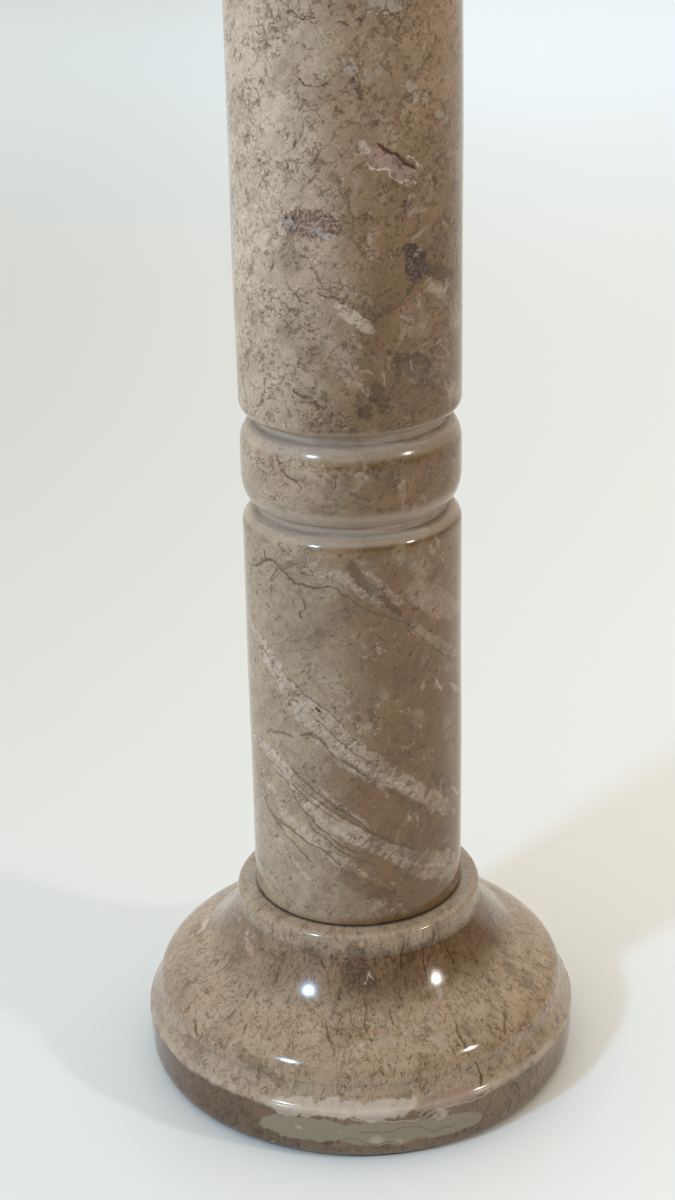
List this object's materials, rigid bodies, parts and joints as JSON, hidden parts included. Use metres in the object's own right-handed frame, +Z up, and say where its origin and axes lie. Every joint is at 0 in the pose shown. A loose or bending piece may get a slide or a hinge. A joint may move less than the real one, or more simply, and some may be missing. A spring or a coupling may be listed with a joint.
{
  "type": "pedestal column",
  "caption": "Turned marble pedestal column: round moulded base, plain cylindrical shaft with a ring between grooves, and a round slab top to stand things on.",
  "frame": {"origin": "centre of the underside of the base, on the turning axis", "axes": "+Z up along the turning axis of all the pieces; +Y points to the back and +X to the right as the picture sees it"},
  "size_m": [0.316, 0.316, 0.8896],
  "materials": {
    "base_stone": "polished brown-grey fossil marble",
    "shaft_stone": "polished brown-grey fossil marble with pale bands; the groove floors are left unpolished",
    "capital_stone": "polished brown-grey fossil marble"
  },
  "bodies": {
    "root": {"base": "base_stone", "shaft": "shaft_stone", "capital": "capital_stone"}
  },
  "joints": []
}
